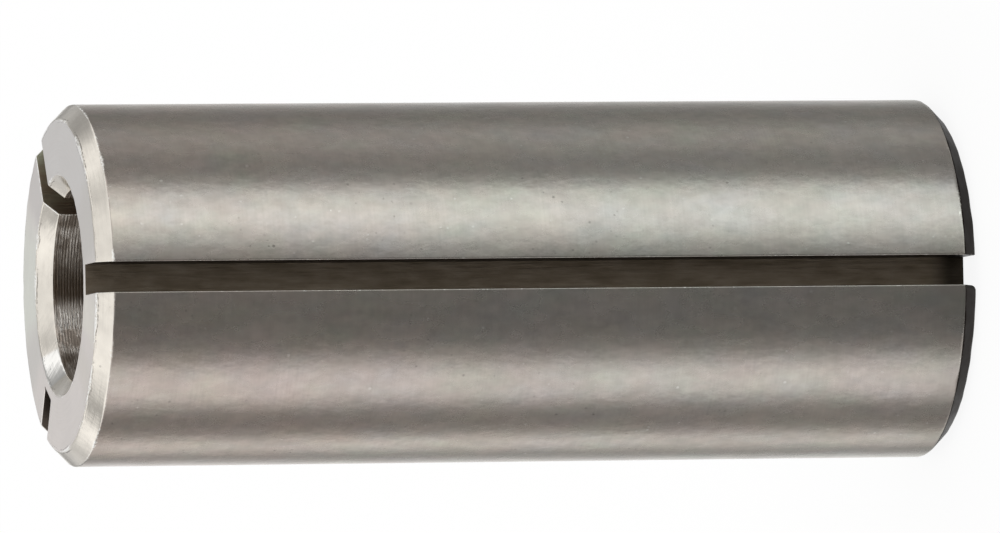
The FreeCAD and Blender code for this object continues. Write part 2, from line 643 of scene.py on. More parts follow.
    def patches(self) -> list[Patch]:
        """Build all surfaces of the sleeve.

        Returns:
            The patches, whose borders meet point for point.
        """
        rows, at = self.rows()
        uncut = slice(0, at[Corner.UPPER_WEB] + 1)
        slots = range(self.sizes.slot_count)
        lands = [self.land(rows, uncut, number) for number in slots]
        outer = slice(at[Corner.UPPER_RIM], at[Corner.LOWER_RIM] + 1)
        bore = slice(at[Corner.LOWER_MOUTH], at[Corner.UPPER_MOUTH] + 1)
        heights = rows.place[outer, 1]
        heights = (heights - heights[-1]) / (heights[0] - heights[-1]) * self.sizes.length
        built = list(lands)
        for number in slots:
            edges = [lands[number].points[:, 0], lands[number - 1].points[:, -1]]
            if number:
                web = self.web(rows, uncut, number)
                floor = self.groove_floor(web, heights, number)
                built += [web, floor]
                inner_sides = [floor.points[:, -1], floor.points[:, 0]]
                top_start = at[Corner.UPPER_WEB]
                bottom_end = 0
                zone = Zone.GROOVE_WALL
            else:
                inner_sides = [edge[bore][::-1] for edge in edges]
                top_start = at[Corner.UPPER_MOUTH]
                bottom_end = at[Corner.LOWER_MOUTH]
                zone = Zone.SPLIT_WALL
            for edge, inner in zip(edges, inner_sides):
                looped = np.vstack([edge, edge[: bottom_end + 1]])
                top = edge[top_start: at[Corner.UPPER_RIM] + 1]
                bottom = looped[at[Corner.LOWER_RIM]:][::-1]
                points = fill_between(inner, edge[outer], top, bottom)
                built.append(Patch(points, np.full(len(points) - 1, zone.value)))
        return built

    def mesh(self, name: str) -> bpy.types.Mesh:
        """Sew the patches into one closed mesh.

        Args:
            name: The mesh's name.

        Returns:
            The mesh, with its zones as material numbers, and with attributes lip and crest.
        """
        patches = self.patches()
        starts = np.cumsum([0] + [patch.points.size // 5 for patch in patches])
        points = np.concatenate([patch.points.reshape(-1, 5) for patch in patches])
        faces = np.concatenate([patch.faces(start) for patch, start in zip(patches, starts)])
        zones = np.concatenate([patch.face_zones() for patch in patches]).astype(np.int32)
        mesh = bpy.data.meshes.new(name)
        mesh.from_pydata(points[:, :3], [], faces.tolist())
        mesh.polygons.foreach_set("material_index", zones)
        for column, label in ((3, "lip"), (4, "crest")):
            layer = mesh.attributes.new(label, "FLOAT", "POINT")
            layer.data.foreach_set("value", points[:, column].astype(np.float32))
        sewn = bmesh.new()
        sewn.from_mesh(mesh)
        bmesh.ops.remove_doubles(sewn, verts=sewn.verts, dist=self.sewing_gap)
        bmesh.ops.recalc_face_normals(sewn, faces=sewn.faces)
        open_edges = sum(not edge.is_manifold for edge in sewn.edges)
        if open_edges:
            raise RuntimeError(f"{name} has {open_edges} open or doubled edges")
        sewn.to_mesh(mesh)
        sewn.free()
        mesh.shade_smooth()
        mesh.set_sharp_from_angle(angle=math.radians(self.sharp_angle))
        return mesh


class Wiring:
    """Places nodes in one tree and joins them."""

    def __init__(self, tree: bpy.types.NodeTree) -> None:
        """Start on an empty tree."""
        self.tree = tree
        tree.nodes.clear()

    @classmethod
    def of(cls, owner: bpy.types.Material | bpy.types.World) -> Wiring:
        """Start on the nodes of a material or a world."""
        owner.use_nodes = True
        return cls(owner.node_tree)

    def feed(self, socket: bpy.types.NodeSocket, value: Any) -> None:
        """Put a value on an input.

        Args:
            socket: The input.
            value: Another node's output, which is linked, or a constant.
        """
        if isinstance(value, bpy.types.NodeSocket):
            self.tree.links.new(value, socket)
        elif socket.type == "RGBA":
            socket.default_value = (*value, 1)
        else:
            socket.default_value = value

    def add(self, kind: str, inputs: dict[Any, Any] | None = None, **settings: Any) -> bpy.types.Node:
        """Place a node.

        Args:
            kind: The node's type.
            inputs: What goes on its inputs, by name or number.
            **settings: The node's own settings.

        Returns:
            The node.
        """
        node = self.tree.nodes.new(kind)
        for name, value in settings.items():
            setattr(node, name, value)
        for key, value in (inputs or {}).items():
            self.feed(node.inputs[key], value)
        return node

    def place(self, group: bpy.types.NodeTree, **values: Any) -> bpy.types.NodeOutputs:
        """Place a node group with these values on its inputs, and return its outputs."""
        return self.add("ShaderNodeGroup", values, node_tree=group).outputs

    def level(self, group: bpy.types.NodeTree, **values: Any) -> bpy.types.NodeSocket:
        """Place a node group with these values on its inputs, and return its first output."""
        return self.place(group, **values)[0]

    def spot(self) -> bpy.types.NodeSocket:
        """Return the place of the shaded point in the piece's own frame."""
        return self.add("ShaderNodeTexCoord").outputs["Object"]

    def vector(self, x: Any, y: Any, z: Any) -> bpy.types.NodeSocket:
        """Put three numbers together."""
        return self.add("ShaderNodeCombineXYZ", {0: x, 1: y, 2: z}).outputs[0]

    def math(self, operation: str, *values: Any, clamp: bool = False) -> bpy.types.NodeSocket:
        """Work out one number from others, and keep it between 0 and 1 if it is clamped."""
        inputs = dict(enumerate(values))
        return self.add("ShaderNodeMath", inputs, operation=operation, use_clamp=clamp).outputs[0]

    def product(self, first: Any, *factors: Any) -> Any:
        """Multiply numbers.

        Args:
            first: The first number.
            *factors: The others.

        Returns:
            The product.
        """
        for factor in factors:
            first = self.math("MULTIPLY", first, factor)
        return first

    def total(self, *terms: tuple[Any, Any], start: Any = 0.0) -> Any:
        """Add up levels, each times its own amount.

        Args:
            *terms: The levels with their amounts.
            start: What they are added to.

        Returns:
            The sum.
        """
        for level, amount in terms:
            start = self.math("MULTIPLY_ADD", level, amount, start)
        return start

    def ease(
        self, value: Any, low: Any, high: Any, to_low: Any = 0.0, to_high: Any = 1.0,
    ) -> bpy.types.NodeSocket:
        """Lead smoothly to to_high, which is reached at high, from to_low, which is left at low."""
        inputs = {"Value": value, "From Min": low, "From Max": high, "To Min": to_low, "To Max": to_high}
        return self.add("ShaderNodeMapRange", inputs, interpolation_type="SMOOTHSTEP").outputs[0]

    def mix(self, share: Any, first: Any, second: Any, blend: str = "MIX") -> bpy.types.NodeSocket:
        """Mix two colours, or lay the second over the first by another blend, at a share."""
        inputs = {0: share, 6: first, 7: second}
        return self.add("ShaderNodeMix", inputs, data_type="RGBA", blend_type=blend).outputs[2]

    def layer(self, color: Any, *layers: tuple[Any, float, Color]) -> Any:
        """Lay colours one over the other.

        Args:
            color: The lowest colour.
            *layers: The others, each as the level that it follows, its greatest share and itself.

        Returns:
            The colour that shows.
        """
        for level, share, laid in layers:
            color = self.mix(self.product(level, share), color, laid)
        return color


def start_group(name: str, inputs: dict[str, float], outputs: list[str]) -> tuple[Wiring, Any, Any]:
    """Start a shader node group that works on numbers.

    Args:
        name: The group's name.
        inputs: Its inputs, with their defaults.
        outputs: Its outputs.

    Returns:
        The wiring of its tree, what comes in, and what goes out.
    """
    tree = bpy.data.node_groups.new(name, "ShaderNodeTree")
    for label, default in inputs.items():
        socket = tree.interface.new_socket(name=label, in_out="INPUT", socket_type="NodeSocketFloat")
        socket.default_value = default
    for label in outputs:
        tree.interface.new_socket(name=label, in_out="OUTPUT", socket_type="NodeSocketFloat")
    wiring = Wiring(tree)
    return wiring, wiring.add("NodeGroupInput").outputs, wiring.add("NodeGroupOutput").inputs


@cache
def turned_places() -> bpy.types.NodeTree:
    """Build the group that measures a point from the sleeve's axis.

    Radius is its distance from the axis, Turn its angle about +Z in degrees, Around the arc from
    -X, whose seam lies in the split, and Height its z.

    Returns:
        The group.
    """
    wiring, _, outputs = start_group("turned_places", {}, ["Radius", "Turn", "Around", "Height"])
    x, y, z = wiring.add("ShaderNodeSeparateXYZ", {0: wiring.spot()}).outputs
    radius = wiring.math("SQRT", wiring.math("ADD", wiring.product(x, x), wiring.product(y, y)))
    angle = wiring.math("ARCTAN2", wiring.product(y, -1.0), wiring.product(x, -1.0))
    wiring.feed(outputs["Radius"], radius)
    wiring.feed(outputs["Turn"], wiring.total((angle, RADIAN), start=HALF_TURN))
    wiring.feed(outputs["Around"], wiring.product(angle, radius))
    wiring.feed(outputs["Height"], z)
    return wiring.tree


@cache
def streaks() -> bpy.types.NodeTree:
    """Build the group of fine uneven lines: noise that is stretched along them.

    Returns:
        The group, which puts out a level from 0 to 1.
    """
    values = {"Across": 0, "Along": 0, "Width": 0.05 * MM, "Length": 2 * MM, "Seed": 0}
    wiring, inputs, outputs = start_group("streaks", values, ["Level"])
    across = wiring.math("DIVIDE", inputs["Across"], inputs["Width"])
    along = wiring.math("DIVIDE", inputs["Along"], inputs["Length"])
    place = wiring.vector(across, along, inputs["Seed"])
    settings = {"Vector": place, "Scale": 1.0, "Detail": 3.0, "Roughness": 0.6}
    noise = wiring.add("ShaderNodeTexNoise", settings).outputs[0]
    wiring.feed(outputs["Level"], wiring.ease(noise, 0.2, 0.8))
    return wiring.tree


@cache
def clouds() -> bpy.types.NodeTree:
    """Build the group of soft cloudy patches, which can be drawn out along the axis.

    Returns:
        The group, which puts out a level from 0 to 1, and the plain noise for a relief.
    """
    values = {"Size": 1 * MM, "Stretch": 1, "Detail": 3, "Seed": 0}
    wiring, inputs, outputs = start_group("clouds", values, ["Level", "Relief"])
    drawn_out = wiring.vector(1.0, 1.0, wiring.math("DIVIDE", 1.0, inputs["Stretch"]))
    place = wiring.add("ShaderNodeVectorMath", {0: wiring.spot(), 1: drawn_out}, operation="MULTIPLY")
    settings = {
        "Vector": place.outputs[0],
        "W": inputs["Seed"],
        "Scale": wiring.math("DIVIDE", 1.0, inputs["Size"]),
        "Detail": inputs["Detail"],
        "Roughness": 0.55,
    }
    noise = wiring.add("ShaderNodeTexNoise", settings, noise_dimensions="4D").outputs[0]
    wiring.feed(outputs["Level"], wiring.ease(noise, 0.22, 0.78))
    wiring.feed(outputs["Relief"], noise)
    return wiring.tree


@cache
def angular_band() -> bpy.types.NodeTree:
    """Build the group that shows how far an angle lies in a band of angles, in degrees.

    The angle's distance from the band's middle is wrapped to half a turn either way, and the
    level fades smoothly across the band's sides.

    Returns:
        The group, which puts out 1 in the band and 0 beside it.
    """
    values = {"Angle": 0, "Middle": 0, "Half": 10, "Softness": 5}
    wiring, inputs, outputs = start_group("angular_band", values, ["Level"])
    away = wiring.math("SUBTRACT", inputs["Angle"], inputs["Middle"])
    away = wiring.math("ABSOLUTE", wiring.math("WRAP", away, HALF_TURN, -HALF_TURN))
    half_soft = wiring.product(inputs["Softness"], 0.5)
    inner = wiring.math("SUBTRACT", inputs["Half"], half_soft)
    outer = wiring.math("ADD", inputs["Half"], half_soft)
    wiring.feed(outputs["Level"], wiring.ease(away, inner, outer, 1.0, 0.0))
    return wiring.tree


@cache
def specks() -> bpy.types.NodeTree:
    """Build the group of small scattered dots, each in a cell of its own and of its own size.

    Returns:
        The group, which puts out 1 in a dot and 0 around it.
    """
    values = {"Size": 0.15 * MM, "Share": 0.3, "Seed": 0}
    wiring, inputs, outputs = start_group("specks", values, ["Mask"])
    scale = wiring.math("DIVIDE", 1.0, inputs["Size"])
    settings = {"Vector": wiring.spot(), "W": inputs["Seed"], "Scale": scale}
    cells = wiring.add("ShaderNodeTexVoronoi", settings, voronoi_dimensions="4D").outputs
    chance = wiring.add("ShaderNodeSeparateColor", {0: cells["Color"]}).outputs
    chosen = wiring.math("LESS_THAN", chance[0], inputs["Share"])
    radius = wiring.total((chance[1], 0.3), start=0.12)
    dot = wiring.ease(cells["Distance"], wiring.product(radius, 0.4), radius, 1.0, 0.0)
    wiring.feed(outputs["Mask"], wiring.product(dot, chosen))
    return wiring.tree


@cache
def worn_edges() -> bpy.types.NodeTree:
    """Build the group that shows edge wear, with a painted highlight on each lip and a line of painted
    shade beside it, broken up by noise.

    Returns:
        The group, which puts out the masks of the bright lip, a painted highlight, and of the dark line
        beside it, painted shade.
    """
    values = {"Grain": 0.09 * MM, "Break up": 0.9}
    wiring, inputs, outputs = start_group("worn_edges", values, ["Bright", "Dark"])
    lip = wiring.add("ShaderNodeAttribute", attribute_name="lip").outputs["Fac"]
    scale = wiring.math("DIVIDE", 1.0, inputs["Grain"])
    settings = {"Vector": wiring.spot(), "Scale": scale, "Detail": 2.0}
    noise = wiring.add("ShaderNodeTexNoise", settings).outputs[0]
    uneven = wiring.product(wiring.math("SUBTRACT", noise, 0.5), inputs["Break up"], 2.0)
    patchy = wiring.level(clouds(), Size=1.4 * MM, Detail=2.0, Seed=31.0)
    level = wiring.product(lip, wiring.total((patchy, 0.8), start=0.35))
    bright = wiring.ease(wiring.math("ADD", level, uneven), 0.3, 0.8)
    dark = wiring.ease(wiring.math("SUBTRACT", uneven, level), 0.2, 0.9)
    for name, mask, steepness in (("Bright", bright, 4.0), ("Dark", dark, -4.0)):
        near = wiring.math("MULTIPLY", lip, steepness, clamp=True)
        wiring.feed(outputs[name], wiring.product(mask, near))
    return wiring.tree


@dataclass(frozen=True)
class Arc:
    """A band of angles.

    Attributes:
        middle: Its middle, in degrees about +Z.
        half_width: Half its width at half its strength, in degrees.
        softness: Width of the fade at each side, in degrees.
    """

    middle: float
    half_width: float
    softness: float

    def level(self, wiring: Wiring, angle: bpy.types.NodeSocket) -> bpy.types.NodeSocket:
        """Draw how far an angle lies in the band, from 0 to 1."""
        band = {"Middle": self.middle, "Half": self.half_width, "Softness": self.softness}
        return wiring.level(angular_band(), Angle=angle, **band)


@dataclass(frozen=True)
class Stain(Arc):
    """A faint stain across an end face, of the colour given."""

    color: Color


@dataclass(frozen=True)
class GlintArc(Arc):
    """An arc of the bore whose crests and streaks are painted bright as glints, by the share given."""

    share: float


@dataclass(frozen=True)
class Tint:
    """A colour in cloudy patches.

    Attributes:
        color: The colour.
        share: Its greatest share.
        size: Size of the patches.
        stretch: How many times as long as wide they are along the axis.
        detail: How finely they are broken up.
        seed: Seed of their pattern.
    """

    color: Color
    share: float
    size: float
    stretch: float
    detail: float
    seed: float

    def level(self, wiring: Wiring) -> bpy.types.NodeSocket:
        """Draw the patches, as a level from 0 to 1."""
        values = {"Size": self.size, "Stretch": self.stretch, "Detail": self.detail, "Seed": self.seed}
        return wiring.level(clouds(), **values)


@dataclass(frozen=True)
class Look:
    """What a finish draws.

    Attributes:
        color: Colour of the metal.
        roughness: Its roughness.
        height: Height of its relief, in metres.
    """

    color: bpy.types.NodeSocket
    roughness: bpy.types.NodeSocket
    height: bpy.types.NodeSocket


@dataclass(frozen=True)
class Finish:
    """One way in which the steel was worked.

    Attributes:
        name: The material's name.
        color: Its main colour.
        roughness: Its middle roughness.
        lip_highlight_color: Colour of its worn lips, partly a painted highlight, or None where its edges
            show no wear.
        metallic: How bare the metal is; oxide takes some of it away.
        scatter: Share of its light that a worn lip's burrs scatter instead of mirroring it, which
            brightens the painted highlight.
        shade_line_share: Brightness of the painted shade line beside a lip, as a share of the colour's.
    """

    name: str
    color: Color
    roughness: float
    lip_highlight_color: Color | None = None
    metallic: float = field(default=1.0, kw_only=True)
    scatter: float = field(default=0.0, kw_only=True)
    shade_line_share: float = field(default=0.45, kw_only=True)

    def material(self) -> bpy.types.Material:
        """Make the material: one metal shader under what the finish draws, and its worn edges with their
        painted highlights and shade lines.

        Returns:
            The material.
        """
        material = bpy.data.materials.new(self.name)
        wiring = Wiring.of(material)
        look = self.draw(wiring)
        color = look.color
        metallic = self.metallic
        if self.lip_highlight_color:
            # Worn lips are painted bright as highlights, and the line beside each is painted dark as
            # shade.
            masks = wiring.place(worn_edges())
            color = wiring.mix(masks["Dark"], color, (self.shade_line_share,) * 3, "MULTIPLY")
            color = wiring.mix(masks["Bright"], color, self.lip_highlight_color)
            metallic = wiring.total((masks["Bright"], -self.scatter * metallic), start=metallic)
        inputs = {
            "Base Color": color,
            "Roughness": look.roughness,
            "Normal": wiring.add("ShaderNodeBump", {"Height": look.height, "Distance": 1.0}).outputs[0],
            "Metallic": metallic,
        }
        shader = wiring.add("ShaderNodeBsdfPrincipled", inputs)
        wiring.add("ShaderNodeOutputMaterial", {"Surface": shader.outputs[0]})
        return material

    def draw(self, wiring: Wiring) -> Look:
        """Draw the finish's colour, roughness and relief."""
        raise NotImplementedError


@dataclass(frozen=True)
class GroundFinish(Finish):
    """The outside: satin from the grinder, a little wavy, with cloudy tints, pits and glints.

    Attributes:
        tints: Brownish, greenish, violet, dull and reddish clouds, one over the other.
        rough_tint: Number of the clouds that are the roughest.
        pit: Colour in a pit.
        glint: Colour of a glint.
        lower_darkening: Heights between which the darkening of the lower end fades out.
        cool: What the colours are multiplied by towards the lower end.
        warm: The same towards the upper end.
        hue_heights: Heights between which the one leads to the other.
    """

    name: str = "ground_steel"
    color: Color = (0.695, 0.62, 0.56)
    roughness: float = 0.27
    lip_highlight_color: Color = (0.93, 0.91, 0.86)
    tints: tuple[Tint, ...] = (
        Tint((0.63, 0.56, 0.485), 1.0, 6 * MM, 1.5, 1, seed=51),
        Tint((0.575, 0.62, 0.515), 1.0, 1.7 * MM, 1.6, 4, seed=9),
        Tint((0.575, 0.55, 0.565), 0.8, 1.2 * MM, 1.6, 4, seed=17),
        Tint((0.52, 0.485, 0.435), 0.7, 0.9 * MM, 2.0, 4, seed=0),
        Tint((0.675, 0.57, 0.525), 0.45, 0.55 * MM, 1.6, 2, seed=53),
    )
    rough_tint: int = 3
    pit: Color = (0.25, 0.23, 0.21)
    glint: Color = (0.88, 0.87, 0.84)
    lower_darkening: tuple[float, float] = (0.5 * MM, 2.5 * MM)
    cool: Color = (0.985, 1.0, 1.005)
    warm: Color = (1.015, 0.98, 0.975)
    hue_heights: tuple[float, float] = (12 * MM, 27 * MM)

    def draw(self, wiring: Wiring) -> Look:
        """Lay tints, pits and glints over the ground steel, with faint lines round the axis."""
        places = wiring.place(turned_places())
        levels = [tint.level(wiring) for tint in self.tints]
        waves = wiring.place(clouds(), Size=4.5 * MM, Stretch=1.3, Detail=0.0, Seed=21.0)["Relief"]
        swell = wiring.place(clouds(), Size=1.3 * MM, Stretch=1.6, Detail=1.0, Seed=23.0)["Relief"]
        small = wiring.place(clouds(), Size=0.3 * MM, Stretch=1.5, Detail=2.0, Seed=4.0)
        nests = wiring.ease(wiring.level(clouds(), Size=2.2 * MM, Detail=1.0, Seed=15.0), 0.4, 0.9)
        pits = wiring.level(specks(), Size=0.18 * MM, Share=0.5)
        pits = wiring.product(pits, nests, wiring.ease(small["Level"], 0.2, 0.6))
        glints = wiring.level(specks(), Size=0.2 * MM, Share=0.25, Seed=3.0)
        glints = wiring.product(glints, wiring.ease(small["Level"], 0.35, 0.75))
        lines = wiring.level(
            streaks(), Across=places["Height"], Along=places["Around"], Width=0.09 * MM, Length=3 * MM,
        )
        color = wiring.layer(
            self.color,
            *((level, tint.share, tint.color) for level, tint in zip(levels, self.tints)),
            (wiring.total((lines, 0.3), (small["Level"], 0.7)), 0.34, self.pit),
            (pits, 0.7, self.pit),
            (glints, 0.35, self.glint),
            # The lower end is darker, fading out upwards.
            (wiring.ease(places["Height"], *self.lower_darkening, 1.0, 0.0), 0.2, self.pit),
        )
        hue = wiring.mix(wiring.ease(places["Height"], *self.hue_heights), self.cool, self.warm)
        color = wiring.mix(1.0, color, hue, "MULTIPLY")
        rough = wiring.total((levels[self.rough_tint], 0.05), start=self.roughness - 0.025)
        height = wiring.total(
            (waves, 0.05 * MM),
            (swell, 0.009 * MM),
            (small["Relief"], 0.006 * MM),
            (pits, -0.002 * MM),
            (glints, 0.001 * MM),
            (lines, 0.0003 * MM),
        )
        return Look(color, rough, height)


@dataclass(frozen=True)
class FacedFinish(Finish):
    """The end faces: turned flat, with fine rings about the axis and light stains.

    Attributes:
        stains: The stains, the later ones over the earlier ones.
        dull: Colour of the dull blots.
    """

    name: str = "faced_steel"
    color: Color = (0.95, 0.885, 0.845)
    roughness: float = 0.33
    lip_highlight_color: Color = (0.98, 0.97, 0.94)
    scatter: float = 0.6
    stains: tuple[Stain, ...] = (
        Stain(-45, 62, 30, (0.81, 0.785, 0.765)),
        Stain(57, 26, 30, (0.965, 0.985, 0.90)),
        Stain(16, 10, 12, (0.79, 0.75, 0.725)),
        Stain(88, 10, 14, (0.82, 0.79, 0.75)),
        Stain(-98, 15, 14, (0.76, 0.73, 0.69)),
        Stain(-135, 9, 10, (1.0, 0.955, 0.87)),
        Stain(-160, 7, 10, (0.89, 0.83, 0.77)),
    )
    dull: Color = (0.72, 0.685, 0.66)

    def draw(self, wiring: Wiring) -> Look:
        """Lay fine rings about the axis over light stains."""
        places = wiring.place(turned_places())
        blots = wiring.level(clouds(), Size=1.4 * MM, Seed=2.0)
        rings = wiring.level(
            streaks(),
            Across=places["Radius"], Along=places["Around"], Width=0.06 * MM, Length=1.8 * MM, Seed=5.0,
        )
        stains = [(stain.level(wiring, places["Turn"]), 1.0, stain.color) for stain in self.stains]
        color = wiring.layer(self.color, *stains, (blots, 0.3, self.dull), (rings, 0.2, self.dull))
        rough = wiring.total((rings, 0.08), start=self.roughness - 0.04)
        return Look(color, rough, wiring.product(rings, 0.0006 * MM))


@dataclass(frozen=True)
class TurnedFinish(Finish):
    """The chamfers and countersinks: bright from the tool, with coarser marks, small burrs and a facet
    painted as a highlight.

    Attributes:
        mark: Colour in the tool's marks.
        facet: Where the tool ran out and left a smoother facet, painted near white as a highlight of what
            it mirrors.
        highlight_facet_radius: Distance from the axis below which that facet lies.
    """

    name: str = "turned_steel"
    color: Color = (0.95, 0.895, 0.805)
    roughness: float = 0.18
    lip_highlight_color: Color = (0.98, 0.97, 0.94)
    scatter: float = 0.6
    shade_line_share: float = 0.3
    mark: Color = (0.42, 0.39, 0.36)
    facet: Arc = Arc(111, 13, 3)
    highlight_facet_radius: float = 4.0 * MM

    def draw(self, wiring: Wiring) -> Look:
        """Lay the tool's marks, a few burrs and the facet's painted highlight over the bright steel."""
        places = wiring.place(turned_places())
        inside = wiring.math("LESS_THAN", places["Radius"], self.highlight_facet_radius)
        # The facet is painted near white: a highlight of what it mirrors, over a slightly smoother
        # finish.
        facet = wiring.product(self.facet.level(wiring, places["Turn"]), inside)
        marks = wiring.level(
            streaks(),
            Across=places["Radius"], Along=places["Around"], Width=0.09 * MM, Length=1.5 * MM, Seed=8.0,
        )
        chatter = wiring.level(
            streaks(),
            Across=places["Around"], Along=places["Radius"], Width=0.3 * MM, Length=0.8 * MM, Seed=9.0,
        )
        patchy = wiring.ease(wiring.level(clouds(), Size=1.2 * MM, Detail=2.0, Seed=43.0), 0.4, 0.9)
        soft = wiring.level(clouds(), Size=0.8 * MM, Detail=2.0, Seed=45.0)
        burrs = wiring.level(specks(), Size=0.2 * MM, Share=0.15, Seed=6.0)
        level = wiring.product(marks, wiring.total((chatter, 0.7), start=0.3), patchy)
        color = wiring.layer(
            self.color,
            (soft, 0.3, self.mark),
            (level, 0.35, self.mark),
            (burrs, 0.4, self.mark),
            (facet, 0.85, self.lip_highlight_color),
        )
        rough = wiring.total((level, 0.12), (facet, -0.1), start=self.roughness)
        height = wiring.total((marks, 0.0015 * MM), (chatter, 0.003 * MM), (burrs, 0.004 * MM))
        return Look(color, rough, height)


@dataclass(frozen=True)
class BoredFinish(Finish):
    """The bore: dark oxide in the valleys of the boring rings, bare steel on their worn crests, and
    painted glints and reflected light in a few arcs.

    Attributes:
        crest_color: Colour of a worn crest, and of the glints painted on crests and streaks in the arcs.
        arc_reflection_color: Colour between the crests in the arcs, painted as the light that they
            mirror.
        glint_arcs: The arcs where glints and reflected light are painted, as the bore mirrors the
            studio's bright strips.
    """

    name: str = "bored_steel"
    color: Color = (0.083, 0.058, 0.036)
    roughness: float = 0.34
    metallic: float = 0.55
    lip_highlight_color: Color = (0.8, 0.77, 0.7)
    crest_color: Color = (0.97, 0.93, 0.87)
    arc_reflection_color: Color = (0.58, 0.50, 0.43)
    glint_arcs: tuple[GlintArc, ...] = (
        GlintArc(14, 25, 37.5, share=0.6),
        GlintArc(85, 13, 19.5, share=1.9),
        GlintArc(106, 20, 30, share=0.35),
        GlintArc(165, 30, 45, share=0.8),
        GlintArc(265, 30, 45, share=0.8),
    )

    def draw(self, wiring: Wiring) -> Look:
        """Paint glints and reflected light on the crests and between them in arcs, and go on with faint
        rings where none are cut as shape.
        """
        places = wiring.place(turned_places())
        crest = wiring.add("ShaderNodeAttribute", attribute_name="crest").outputs["Fac"]
        # The arcs paint glints and reflected light where the bore mirrors the studio's bright strips.
        patchy = wiring.total(*((arc.level(wiring, places["Turn"]), arc.share) for arc in self.glint_arcs))
        base = wiring.layer(self.color, (patchy, 0.55, self.arc_reflection_color))
        blots = wiring.level(clouds(), Size=0.7 * MM, Detail=3.0, Seed=7.0)
        patchy = wiring.product(patchy, wiring.ease(blots, 0.1, 0.6))
        streak = wiring.level(
            streaks(),
            Across=places["Height"], Along=places["Around"], Width=0.05 * MM, Length=0.5 * MM, Seed=1.0,
        )
        broken = wiring.product(patchy, wiring.total((streak, 0.8), start=0.2))
        worn = wiring.product(wiring.ease(crest, 0.1, 0.8), wiring.total((broken, 0.95), start=0.035))
        streak_glint = wiring.total((patchy, 0.5), start=0.015)
        color = wiring.mix(wiring.product(streak, streak_glint), base, self.crest_color)
        color = wiring.mix(worn, color, self.crest_color)
        rough = wiring.total((worn, -0.16), start=self.roughness)
        wave = wiring.math("SINE", wiring.product(places["Height"], 2 * math.pi / RING_PITCH))
        rough_cut = wiring.total((patchy, 0.025 * MM), start=0.005 * MM)
        height = wiring.total((wave, 0.002 * MM), (streak, rough_cut))
        return Look(color, rough, height)


@dataclass(frozen=True)
class SawnFinish(Finish):
    """A slot's surface: dark oxide with streaks along it, browner and lighter at the upper end; on the
    groove walls painted almost black as shade.

    Attributes:
        light: Colour of the light streaks and of the upper end.
        outer_sheen: How far a painted sheen lightens the wall towards its outer edge, from 0 to 1.
        outer_sheen_radii: Distances from the axis between which that grows.
        light_share: How light the upper end is, from 0 to 1.
        light_heights: Heights between which it grows lighter.
        dark_share: How dark the lower end is, from 0 to 1.
        dark_heights: Heights between which that fades.
    """

    roughness: float = 0.44
    light: Color = (0.2, 0.2, 0.17)
    outer_sheen: float = 0.0
    outer_sheen_radii: tuple[float, float] = (5.0 * MM, 6.0 * MM)
    light_share: float = 0.15
    light_heights: tuple[float, float] = (28.8 * MM, 30.0 * MM)
    dark_share: float = 0.85
    dark_heights: tuple[float, float] = (0.4 * MM, 1.4 * MM)

    def draw(self, wiring: Wiring) -> Look:
        """Lay streaks and blots along the slot over the oxide."""
        places = wiring.place(turned_places())
        side = wiring.math("ADD", places["Radius"], places["Around"])
        streak = wiring.level(
            streaks(), Across=side, Along=places["Height"], Width=0.13 * MM, Length=1.6 * MM, Seed=12.0,
        )
        blots = wiring.level(clouds(), Size=0.45 * MM, Stretch=2.5, Detail=4.0, Seed=13.0)
        upper = wiring.ease(places["Height"], *self.light_heights, 0.0, self.light_share)
        # A painted sheen lightens the wall towards its outer edge.
        outer = wiring.ease(places["Radius"], *self.outer_sheen_radii, 0.0, self.outer_sheen)
        lower = wiring.ease(places["Height"], *self.dark_heights, self.dark_share, 0.0)
        worn = wiring.total((blots, 0.6), start=0.4)
        share = wiring.total((blots, 0.5), (streak, 0.25), (upper, 1.0), (outer, worn))
        color = wiring.mix(share, self.color, self.light)
        color = wiring.mix(lower, color, (0.0, 0.0, 0.0))
        rough = wiring.total((streak, -0.1), start=self.roughness)
        height = wiring.total((streak, 0.006 * MM), (blots, 0.006 * MM))
        return Look(color, rough, height)


@dataclass(frozen=True)
class DarkRimFinish(Finish):
    """The lower rim's chamfer: painted almost black as shade, a little lighter along its worn edges."""

    name: str = "scaled_steel"
    color: Color = (0.012, 0.0078, 0.0058)
    roughness: float = 0.4
    lip_highlight_color: Color = (0.3, 0.28, 0.25)
    shade_line_share: float = 0.7

    def draw(self, wiring: Wiring) -> Look:
        """Lay a faint mottle over the painted shade."""
        patchy = wiring.level(clouds(), Size=0.4 * MM, Seed=14.0)
        light = tuple(1.6 * channel for channel in self.color)
        color = wiring.layer(self.color, (patchy, 0.6, light))
        rough = wiring.total((patchy, 0.1), start=self.roughness)
        return Look(color, rough, wiring.product(patchy, 0.003 * MM))


FINISHES: dict[Zone, Finish] = {
    Zone.GROUND: GroundFinish(),
    Zone.FACED: FacedFinish(),
    Zone.TURNED: TurnedFinish(),
    Zone.BORED: BoredFinish(),
    Zone.SPLIT_WALL: SawnFinish(
        "split_wall", (0.25, 0.155, 0.118), light=(0.42, 0.43, 0.33), outer_sheen=0.9,
    ),
    # The groove walls' colour is painted almost black as the shade inside the narrow groove.
    Zone.GROOVE_WALL: SawnFinish(
        "groove_wall", (0.01, 0.006, 0.004), light=(0.11, 0.09, 0.075), light_share=0.9,
    ),
    Zone.GROOVE_FLOOR: SawnFinish(
        "groove_floor", (0.185, 0.143, 0.095), light=(0.47, 0.39, 0.31), light_share=0.0,
    ),
    Zone.SCALED: DarkRimFinish(),
}


def new_object(name: str, data: bpy.types.ID) -> bpy.types.Object:
    """Make an object and put it into the scene.

    Args:
        name: Its name.
        data: Its mesh or camera.

    Returns:
        The object.
    """
    made = bpy.data.objects.new(name, data)
    bpy.context.scene.collection.objects.link(made)
    return made


